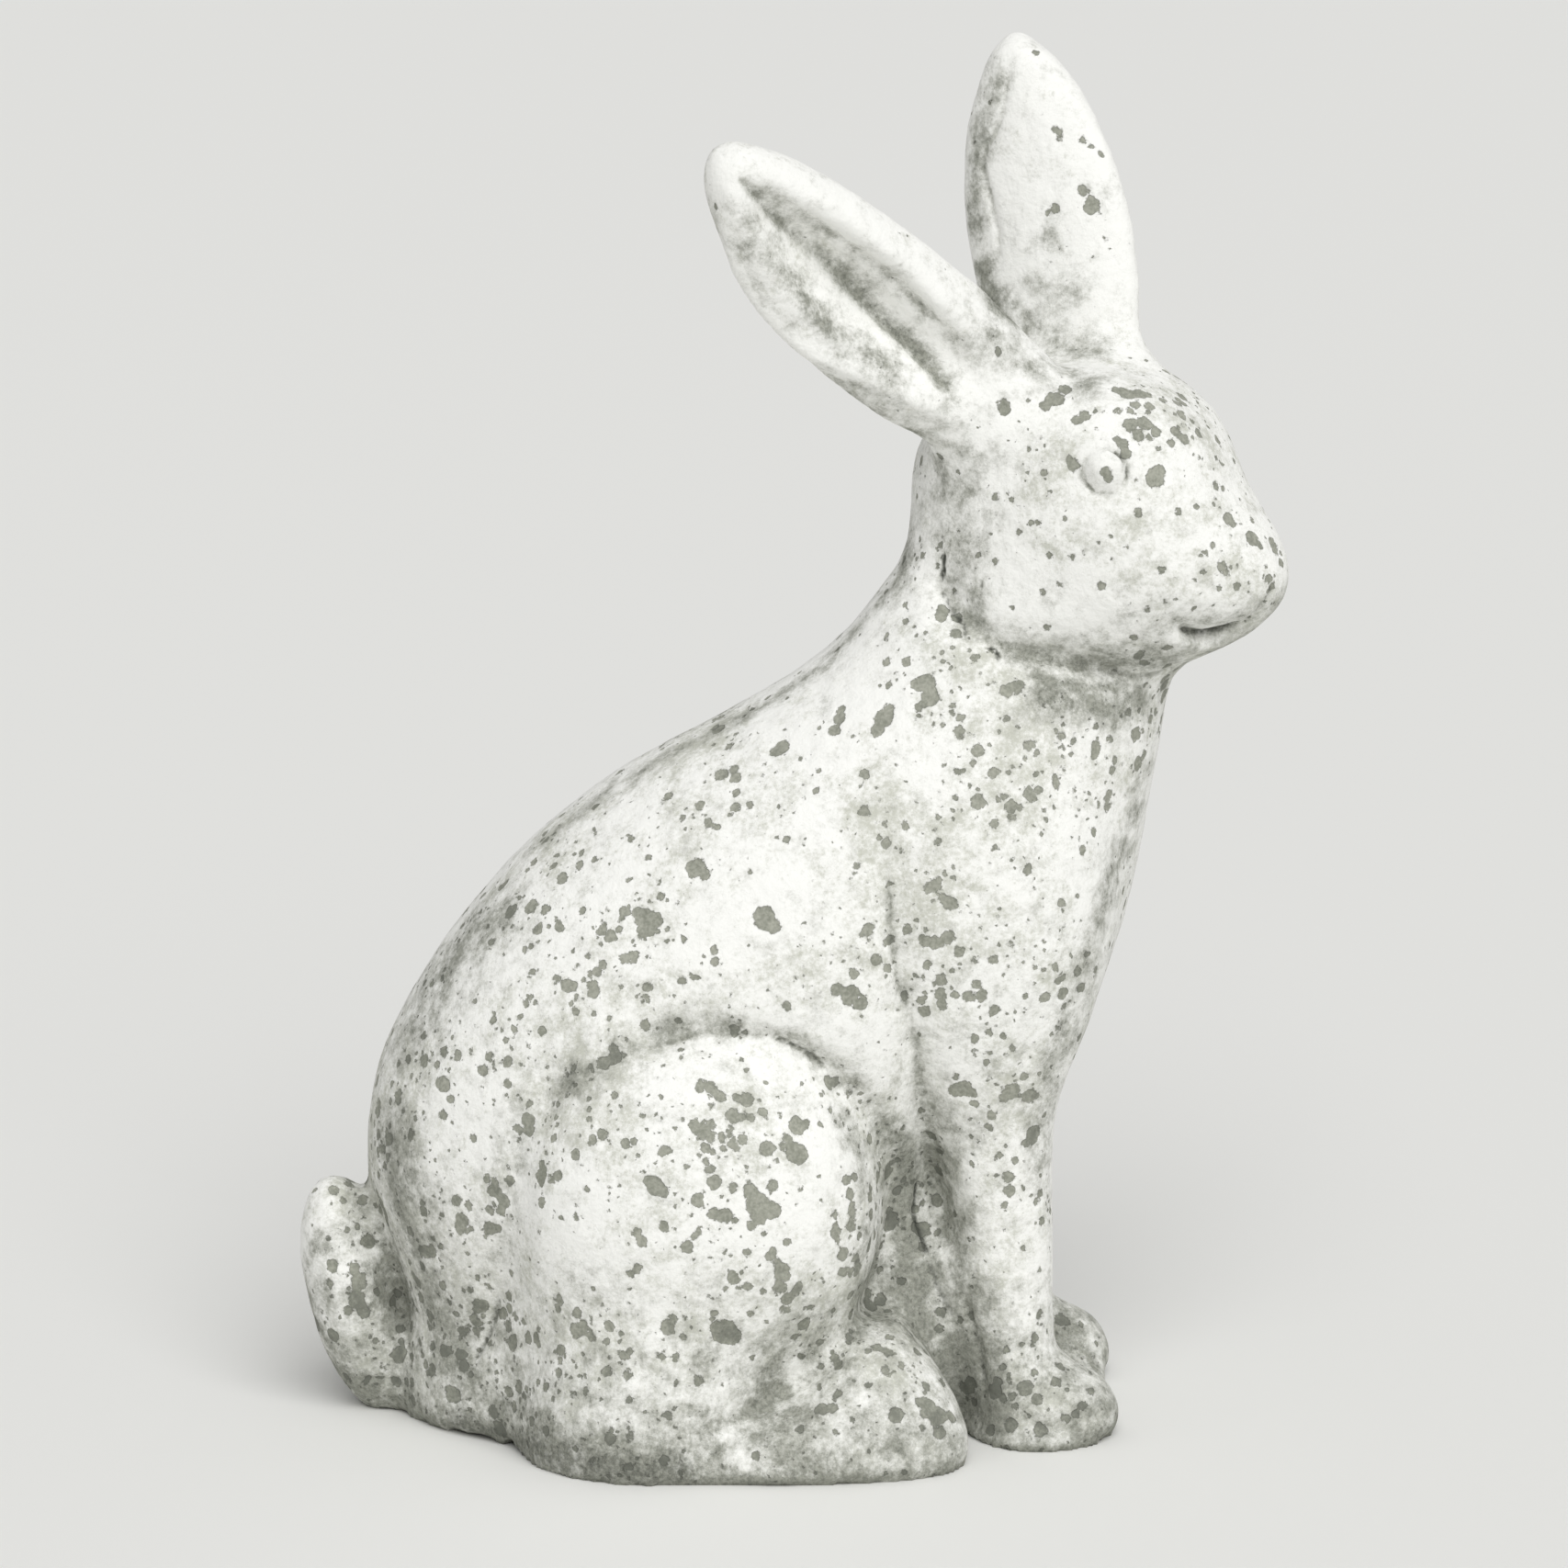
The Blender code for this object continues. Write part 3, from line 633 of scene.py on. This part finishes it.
@dataclass(frozen=True)
class Chipping:
    """Chips too many to place by hand, scattered over the whole casting."""

    count: int = 330
    smallest: float = 1.0  # radius in millimetres
    largest: float = 2.6
    seed: int = 7
    ears_from: float = 300.0 * MM  # height above which few chips have come off
    head_from: float = 232.0 * MM  # height above which the larger ones are listed one by one
    feature: float = 8.0  # millimetres around the eyes and the mouth that keep their whitewash
    spared: tuple[float, float, float] = (0.7, 0.2, 1.2)  # how much less ears, head and features wear
    usual: float = 0.45  # wear where nothing adds to it or takes from it
    # Areas that wear more or less: how much, their size in millimetres, and what moves their pattern.
    areas: tuple[tuple[float, float, float], ...] = ((1.0, 34.0, 3.1), (0.6, 14.0, 6.4))
    # The material's own chips: millimetres from one to the next, the largest radius, the share left out.
    sets: tuple[tuple[float, float, float], ...] = ((4.9, 2.0, 0.2), (2.6, 0.7, 0.2))
    crowding: float = 0.6  # how far wear changes that share

    def wear(self, skin: Skin) -> np.ndarray:
        """Where the whitewash wears most, higher where there are more chips.

        Args:
            skin: The casting's surface.

        Returns:
            A value for each vertex, around 0.
        """
        ears, head, feature = self.spared
        spared = ears * np.clip((skin.points[:, 2] - self.ears_from) / (20.0 * MM), 0.0, 1.0)
        spared += head * np.clip((skin.points[:, 2] - self.head_from) / (10.0 * MM), 0.0, 1.0)
        for place in FEATURES:
            seen = skin.touch(place)
            for spot in (seen, skin.other_side(seen, Side.HEAD)):
                away = np.linalg.norm(skin.points - np.array(spot), axis=1)
                spared += feature * np.exp(-((away / (self.feature * MM)) ** 2))
        uneven = sum(much * skin.ripple(size, seed) for much, size, seed in self.areas)
        return uneven + skin.bare - spared

    def scatter(self, skin: Skin) -> None:
        """Adds the chips.

        Args:
            skin: The casting's surface.
        """
        draw = np.random.default_rng(self.seed)
        height = skin.points[:, 2]
        placed = (height > 3.0 * MM) * (height < self.head_from)
        weight = np.clip(self.usual + self.wear(skin), 0.02, None) * placed
        chosen = draw.choice(len(skin.points), self.count, replace=False, p=weight / weight.sum())
        for index in chosen:
            share = draw.random() ** 2.2
            radius = self.smallest + (self.largest - self.smallest) * share
            centre = Vector(skin.points[index])
            skin.chip_off(centre, radius * MM)
            for _ in range(int(draw.integers(0, 3))):
                way = Vector(draw.normal(size=3))
                normal = Vector(skin.normals[index])
                way = (way - normal * way.dot(normal)).normalized()
                lobe = centre + way * (radius * MM * float(draw.uniform(0.7, 1.3)))
                skin.chip_off(lobe, radius * MM * float(draw.uniform(0.45, 0.85)))


CHIPPING = Chipping()


@dataclass(frozen=True)
class WhitewashedCement:
    """Grey mortar cast in a mould and brushed with lime. It is dull all over, and chips show the mortar."""

    lime: str = "#F8F8F4"
    thin_lime: str = "#C9CABF"  # where the brush left less of it
    mortar: str = "#ACADA1"
    dark_mortar: str = "#8C8E82"
    # Dirt and painted shade on the lime, pale and dark; the dark one also darkens the mortar.
    pale_dirt_and_shade: str = "#A5A69C"
    dirt_and_shade: str = "#73756C"
    soil_and_shadow: str = "#4C4E47"  # painted shadow and soil in the cracks and thin dark lines
    lime_roughness: float = 0.92
    mortar_roughness: float = 0.8
    specular: float = 0.25
    # Sizes of the patterns, in millimetres.
    cloud: float = 34.0  # areas with more and less lime
    blotch: float = 7.0
    speck: float = 1.6
    grain: float = 0.9  # sand in the mortar, drawn coarse enough to show
    sand: float = 1.1  # the same as relief
    brush: float = 5.0
    patch: float = 8.0  # areas in which dirt and painted shade gather
    bite: float = 2.8  # bites in a large chip's edge
    bite_depth: float = 1.7
    shake: float = 2.2  # the same for the smallest chips, whose places are shaken
    shake_reach: float = 3.0
    # Heights as relief, in millimetres.
    chip_step: float = 0.3
    brush_height: float = 0.8
    sand_height: float = 0.2
    worn_thin: float = 0.16  # how much less lime there is where it wears

    def material(self) -> bpy.types.Material:
        """Builds the material.

        Returns:
            The material.
        """
        material = bpy.data.materials.new("whitewashed_cement")
        material.use_nodes = True
        tree = material.node_tree
        shader = tree.nodes["Principled BSDF"]
        place = add_node(tree, "ShaderNodeTexCoord").outputs["Object"]
        gap = self.edge_distance(tree, place)
        bare = add_node(tree, RANGE, SOFT, {"Value": gap, "From Min": 0.1, "From Max": -0.1})
        tree.links.new(self.colour(tree, place, bare), shader.inputs["Base Color"])
        rough = add_node(
            tree, RANGE, {}, {"Value": bare, "To Min": self.lime_roughness, "To Max": self.mortar_roughness}
        )
        tree.links.new(rough.outputs[0], shader.inputs["Roughness"])
        tree.links.new(self.relief(tree, place, gap), shader.inputs["Normal"])
        shader.inputs["Specular IOR Level"].default_value = self.specular
        return material

    def edge_distance(self, tree: bpy.types.NodeTree, place: Any) -> Any:
        """Millimetres to the nearest edge of a chip, negative inside it.

        Args:
            tree: The material's nodes.
            place: Object coordinates.

        Returns:
            The socket.
        """
        drawn = add_node(tree, "ShaderNodeAttribute", {"attribute_name": "chip"}).outputs["Fac"]
        wander, shift = (
            add_node(
                tree,
                NOISE,
                {},
                {"Vector": place, "Scale": 1.0 / (size * MM), "Detail": detail, "Roughness": 0.65},
            )
            for size, detail in ((self.bite, 6.0), (self.shake, 5.0))
        )
        loose = add_node(
            tree, RANGE, {}, {"Value": wander, "To Min": -self.bite_depth, "To Max": self.bite_depth}
        )
        gap = add_node(tree, MATH, ADD, {0: drawn, 1: loose}).outputs[0]
        centred = add_node(
            tree,
            "ShaderNodeVectorMath",
            {"operation": "SUBTRACT"},
            {0: shift.outputs["Color"], 1: (0.5, 0.5, 0.5)},
        )
        small = add_node(
            tree, "ShaderNodeVectorMath", {"operation": "SCALE"}, {0: centred, "Scale": self.shake_reach * MM}
        )
        bent = add_node(tree, "ShaderNodeVectorMath", ADD, {0: place, 1: small}).outputs[0]
        wear = add_node(tree, "ShaderNodeAttribute", {"attribute_name": "wear"}).outputs["Fac"]
        most = CHIPPING.crowding
        more = add_node(
            tree,
            RANGE,
            {},
            {"Value": wear, "From Min": -1.0, "From Max": 1.0, "To Min": -most, "To Max": most},
        )
        for cell, radius, cut in CHIPPING.sets:
            cells = add_node(tree, "ShaderNodeTexVoronoi", {}, {"Vector": bent, "Scale": 1.0 / (cell * MM)})
            away = add_node(tree, MATH, {"operation": "MULTIPLY"}, {0: cells.outputs["Distance"], 1: cell})
            chance = add_node(tree, "ShaderNodeSeparateColor", {}, {"Color": cells.outputs["Color"]})
            luck = add_node(tree, MATH, ADD, {0: chance.outputs[0], 1: more})
            size = add_node(
                tree,
                RANGE,
                {"clamp": False},
                {"Value": luck, "From Min": cut, "From Max": 1.1, "To Min": -0.1, "To Max": radius},
            )
            rim = add_node(tree, MATH, {"operation": "SUBTRACT"}, {0: away, 1: size})
            gap = add_node(tree, MATH, {"operation": "MINIMUM"}, {0: gap, 1: rim}).outputs[0]
        return gap

    def dirt_and_shade_amount(self, tree: bpy.types.NodeTree, place: Any) -> Any:
        """How much dirt and painted shade show, from what is drawn on the casting, broken up into patches.

        Args:
            tree: The material's nodes.
            place: Object coordinates.

        Returns:
            The socket.
        """
        drawn = add_node(tree, "ShaderNodeAttribute", {"attribute_name": "grime_and_shade"}).outputs["Fac"]
        patchy = add_node(
            tree,
            NOISE,
            {},
            {"Vector": place, "Scale": 1.0 / (self.patch * MM), "Detail": 10.0, "Roughness": 0.8},
        )
        spread = add_node(
            tree,
            RANGE,
            {},
            {"Value": patchy, "From Min": 0.34, "From Max": 0.66, "To Min": -0.5, "To Max": 0.5},
        )
        patchy_darkening = add_node(tree, MATH, ADD, {0: drawn, 1: spread})
        return add_node(tree, RANGE, SOFT, {"Value": patchy_darkening}).outputs[0]

    def colour(self, tree: bpy.types.NodeTree, place: Any, bare: Any) -> Any:
        """The colour of lime, mortar, dirt and painted shade together.

        Args:
            tree: The material's nodes.
            place: Object coordinates.
            bare: Where mortar shows.

        Returns:
            The socket.
        """
        clouds, blotches, specks, sand = (
            add_node(
                tree,
                NOISE,
                {},
                {"Vector": place, "Scale": 1.0 / (size * MM), "Detail": detail, "Roughness": rough},
            )
            for size, detail, rough in (
                (self.cloud, 5.0, 0.6),
                (self.blotch, 8.0, 0.7),
                (self.speck, 6.0, 0.8),
                (self.grain, 3.0, 0.5),
            )
        )
        wear, crack_and_shadow = (
            add_node(tree, "ShaderNodeAttribute", {"attribute_name": name}).outputs["Fac"]
            for name in ("wear", "crack_and_shadow")
        )
        dirt_and_shade_share = self.dirt_and_shade_amount(tree, place)
        both = add_node(tree, MATH, ADD, {0: clouds, 1: blotches})
        most = add_node(tree, MATH, {"operation": "MULTIPLY_ADD"}, {0: wear, 1: self.worn_thin, 2: both})
        every = add_node(tree, MATH, ADD, {0: most, 1: specks})
        thin = add_node(tree, RANGE, SOFT, {"Value": every, "From Min": 1.38, "From Max": 1.82})
        lime = add_node(
            tree,
            "ShaderNodeMix",
            COLOURS,
            {SHARE: thin, UNDER: linear(self.lime), OVER: linear(self.thin_lime)},
        ).outputs[MIXED]
        # Deep dirt and painted shade take the dark tint, in specks.
        deep = add_node(tree, RANGE, {}, {"Value": dirt_and_shade_share, "From Min": 0.55, "From Max": 1.0})
        dark = add_node(tree, RANGE, {}, {"Value": specks, "From Min": 0.4, "From Max": 0.65})
        much = add_node(tree, MATH, {"operation": "MULTIPLY"}, {0: deep, 1: dark})
        dirt_and_shade_tint = add_node(
            tree,
            "ShaderNodeMix",
            COLOURS,
            {SHARE: much, UNDER: linear(self.pale_dirt_and_shade), OVER: linear(self.dirt_and_shade)},
        ).outputs[MIXED]
        coarse = add_node(tree, MATH, ADD, {0: sand, 1: blotches})
        uneven = add_node(tree, RANGE, {}, {"Value": coarse, "From Min": 0.8, "From Max": 1.2})
        mortar = add_node(
            tree,
            "ShaderNodeMix",
            COLOURS,
            {SHARE: uneven, UNDER: linear(self.mortar), OVER: linear(self.dark_mortar)},
        ).outputs[MIXED]
        # Lime and mortar darkened by dirt and painted shade.
        lime, mortar = (
            add_node(
                tree, "ShaderNodeMix", COLOURS, {SHARE: dirt_and_shade_share, UNDER: clean, OVER: darkened}
            ).outputs[MIXED]
            for clean, darkened in ((lime, dirt_and_shade_tint), (mortar, linear(self.dirt_and_shade)))
        )
        # Black painted shadow and soil in cracks and thin lines, broken by specks.
        broken = add_node(tree, MATH, {"operation": "MULTIPLY_ADD"}, {0: specks, 1: 0.6, 2: crack_and_shadow})
        black = add_node(tree, RANGE, SOFT, {"Value": broken, "From Min": 0.55, "From Max": 1.15})
        shown = lime
        for share, over in ((bare, mortar), (black, linear(self.soil_and_shadow))):
            shown = add_node(
                tree, "ShaderNodeMix", COLOURS, {SHARE: share, UNDER: shown, OVER: over}
            ).outputs[MIXED]
        return shown

    def relief(self, tree: bpy.types.NodeTree, place: Any, gap: Any) -> Any:
        """The chips' edges, the sandy grain and the brushed lime as bumps, in millimetres.

        Args:
            tree: The material's nodes.
            place: Object coordinates.
            gap: Distance to the nearest chip's edge.

        Returns:
            The bumped normal's socket.
        """
        step = add_node(
            tree,
            RANGE,
            SOFT,
            {"Value": gap, "From Min": -0.25, "From Max": 0.25, "To Min": -self.chip_step, "To Max": 0.0},
        )
        sandy, brushed = (
            add_node(
                tree,
                NOISE,
                {},
                {"Vector": place, "Scale": 1.0 / (size * MM), "Detail": detail, "Roughness": rough},
            )
            for size, detail, rough in ((self.sand, 5.0, 0.6), (self.brush, 4.0, 0.5))
        )
        rough = add_node(tree, MATH, {"operation": "MULTIPLY"}, {0: sandy, 1: self.sand_height})
        height = add_node(
            tree, MATH, {"operation": "MULTIPLY_ADD"}, {0: brushed, 1: self.brush_height, 2: rough}
        )
        total = add_node(tree, MATH, ADD, {0: height, 1: step})
        bump = add_node(tree, "ShaderNodeBump", {}, {"Height": total, "Distance": MM, "Strength": 1.0})
        return bump.outputs[0]


def linear(code: str) -> tuple[float, float, float, float]:
    """A hex colour as Blender's linear values.

    Args:
        code: Such as #A2A394, in sRGB.

    Returns:
        Red, green, blue and 1.
    """
    parts = [int(code[start : start + 2], 16) / 255.0 for start in (1, 3, 5)]
    lin = [p / 12.92 if p <= 0.04045 else ((p + 0.055) / 1.055) ** 2.4 for p in parts]
    return (*lin, 1.0)


def add_node(
    tree: bpy.types.NodeTree,
    kind: str,
    settings: Optional[dict[str, Any]] = None,
    inputs: Optional[dict[Any, Any]] = None,
) -> bpy.types.Node:
    """Adds a node with its settings, and links or sets its inputs.

    Args:
        tree: Where it goes.
        kind: Its type.
        settings: Its own properties.
        inputs: A value, a socket or a node, whose first output is taken, for each input.

    Returns:
        The node.
    """
    node = tree.nodes.new(kind)
    for name, value in (settings or {}).items():
        setattr(node, name, value)
    for key, value in (inputs or {}).items():
        if isinstance(value, bpy.types.Node):
            value = value.outputs[0]
        if isinstance(value, bpy.types.NodeSocket):
            tree.links.new(value, node.inputs[key])
        else:
            node.inputs[key].default_value = value
    return node


@dataclass
class RabbitCasting:
    """The rabbit, wrapped in a skin fine enough for the hand's work."""

    node: bpy.types.Object
    view: Viewpoint
    head: HeadFrame = HeadFrame()
    skin_step: float = 1.5 * MM
    evening: int = 5
    most_triangles: int = 194_000
    # Swells of the surface: depth and size in millimetres, and what moves their pattern.
    swells: tuple[tuple[float, float, float], ...] = ((0.35, 16.0, 5.0), (0.22, 7.0, 9.0))
    chip_depth: float = 0.3  # millimetres
    airy: float = 0.12  # how far closed in a place can be before it takes dirt and painted shade
    splash_and_shade_height: float = 60.0 * MM  # height below which the casting darkens towards the ground, with splashed dirt and painted shade
    # How dark a place gets that is closed in, folded, low or turned down: dirt and painted shade in the first
    # three, only painted shade where it is turned down.
    dirt_and_shade: tuple[float, float, float, float] = (1.15, 0.2, 0.75, 0.7)
    chipping: Chipping = CHIPPING
    finish: WhitewashedCement = WhitewashedCement()

    def wrapped(self) -> bpy.types.Object:
        """A copy of the solid with an even, fine skin.

        Returns:
            The new object.
        """
        shape = bmesh.new()
        shape.from_mesh(self.node.data)
        bmesh.ops.remove_doubles(shape, verts=shape.verts, dist=0.001 * MM)
        mesh = bpy.data.meshes.new(PIECE)
        shape.to_mesh(mesh)
        shape.free()
        piece = bpy.data.objects.new(PIECE, mesh)
        bpy.context.scene.collection.objects.link(piece)
        rounded = piece.modifiers.new("Rounded", "SUBSURF")
        rounded.levels = rounded.render_levels = 1
        even = piece.modifiers.new("Even", "REMESH")
        even.mode = "VOXEL"
        even.voxel_size = self.skin_step
        self.settle(piece)
        self.relax(piece.data)
        return piece

    def settle(self, piece: bpy.types.Object) -> None:
        """Makes a piece's modifiers part of its mesh.

        Args:
            piece: The piece.
        """
        graph = bpy.context.evaluated_depsgraph_get()
        piece.data = bpy.data.meshes.new_from_object(
            piece.evaluated_get(graph), preserve_all_data_layers=True, depsgraph=graph
        )
        piece.modifiers.clear()

    def thin(self, piece: bpy.types.Object) -> None:
        """Joins the smallest faces where the skin is flattest.

        Args:
            piece: The carved casting.
        """
        piece.data.calc_loop_triangles()
        fewer = piece.modifiers.new("Fewer", "DECIMATE")
        fewer.ratio = min(1.0, self.most_triangles / len(piece.data.loop_triangles))
        self.settle(piece)

    def relax(self, mesh: bpy.types.Mesh) -> None:
        """Takes the steps out of the skin and sets its underside flat on the ground.

        Args:
            mesh: The skin.
        """
        shape = bmesh.new()
        shape.from_mesh(mesh)
        sole = self.skin_step * 0.6
        under = [vert for vert in shape.verts if vert.co.z < sole]
        above = [vert for vert in shape.verts if vert.co.z >= sole]
        for _ in range(self.evening):
            bmesh.ops.smooth_vert(
                shape, verts=above, factor=0.5, use_axis_x=True, use_axis_y=True, use_axis_z=True
            )
        for vert in under:
            vert.co.z = 0.0
        bmesh.ops.recalc_face_normals(shape, faces=shape.faces)
        shape.to_mesh(mesh)
        shape.free()

    def carve(self, piece: bpy.types.Object) -> None:
        """Draws the marks, chips, dirt and painted shade on the casting.

        Args:
            piece: The casting.
        """
        low, high = (np.array(corner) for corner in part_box(NODE))
        skin = Skin(piece.data, self.view, self.head)
        for side, marks in MARKS.items():
            for stroke in marks:
                skin.draw(stroke, side)
        for across, down, radius in (lobe for chip in CHIPS for lobe in chip):
            place = skin.touch((across, down))
            if place is not None:
                skin.chip_off(place, radius * self.view.pixel)
        self.chipping.scatter(skin)
        skin.chip -= 12.0 * np.clip(skin.bare - 0.7, 0.0, 1.0)  # the most worn places are bare all over
        shelter = skin.shelter()
        skin.depth += sum(depth * skin.ripple(size, seed) for depth, size, seed in self.swells)
        skin.depth += self.chip_depth * np.clip(0.5 - skin.chip, 0.0, 1.0)
        skin.press(low, high)
        # Closed-in places, folds and places near the ground take dirt and painted shade; places turned down
        # take painted shade.
        causes = (
            shelter - self.airy,
            skin.hollowness(8, 0.5),
            1.0 - skin.points[:, 2] / self.splash_and_shade_height,
            -skin.normals[:, 2],
        )
        dirt_and_shade = sum(most * np.clip(cause, 0.0, 1.0) for most, cause in zip(self.dirt_and_shade, causes))
        # Sound whitewash sheds the dirt and painted shade.
        dirt_and_shade *= 1.0 - np.clip(-skin.bare, 0.0, 1.0)
        skin.keep("grime_and_shade", np.clip(np.maximum(dirt_and_shade, skin.grime_and_shade), 0.0, 1.0))
        skin.keep("crack_and_shadow", skin.crack_and_shadow)
        skin.keep("chip", skin.chip)
        skin.keep("wear", self.chipping.wear(skin))

    def build(self) -> bpy.types.Object:
        """Makes the piece and dresses it.

        Returns:
            The piece.
        """
        piece = self.wrapped()
        self.carve(piece)
        self.thin(piece)
        piece.data.shade_smooth()
        piece.data.materials.clear()
        piece.data.materials.append(self.finish.material())
        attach(piece, "root")
        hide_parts(NODE)
        return piece


@dataclass(frozen=True)
class Studio:
    """A pale floor and soft light."""

    floor_size: float = 40.0
    floor_colour: str = "#EFEFEC"
    sky: float = 0.4
    key_strength: float = 2.05
    key_softness: float = 50.0  # degrees across
    key_from: tuple[float, float, float] = (0.42, -1.5, 1.65)

    def key(self) -> None:
        """Adds the soft key light, from above the camera."""
        light = bpy.data.objects.new("key", bpy.data.lights.new("key", "SUN"))
        light.data.angle = math.radians(self.key_softness)
        light.data.energy = self.key_strength
        light.rotation_mode = "QUATERNION"
        light.rotation_quaternion = (-Vector(self.key_from)).to_track_quat("-Z", "Y")
        bpy.context.scene.collection.objects.link(light)

    def build(self) -> None:
        """Lays the floor and hangs the lights."""
        mesh = bpy.data.meshes.new("floor")
        sheet = bmesh.new()
        bmesh.ops.create_grid(sheet, x_segments=1, y_segments=1, size=self.floor_size / 2.0)
        sheet.to_mesh(mesh)
        sheet.free()
        floor = bpy.data.objects.new("floor", mesh)
        bpy.context.scene.collection.objects.link(floor)
        paint = bpy.data.materials.new("matt_floor_paint")
        paint.use_nodes = True
        shader = paint.node_tree.nodes["Principled BSDF"]
        shader.inputs["Base Color"].default_value = linear(self.floor_colour)
        shader.inputs["Roughness"].default_value = 0.9
        mesh.materials.append(paint)
        world = bpy.data.worlds.new("studio")
        world.use_nodes = True
        world.node_tree.nodes["Background"].inputs["Color"].default_value = (1.0, 1.0, 1.0, 1.0)
        world.node_tree.nodes["Background"].inputs["Strength"].default_value = self.sky
        bpy.context.scene.world = world
        bpy.context.scene.view_settings.view_transform = "Standard"
        self.key()


def main() -> None:
    """Builds the rabbit, its studio and the camera."""
    logging.basicConfig(level=logging.INFO)
    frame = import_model()
    view = Viewpoint()
    view.camera()
    rabbit = RabbitCasting(frame["nodes"][NODE], view).build()
    log.info("%s has %d faces", rabbit.name, len(rabbit.data.polygons))
    Studio().build()


if __name__ == "__main__":
    main()
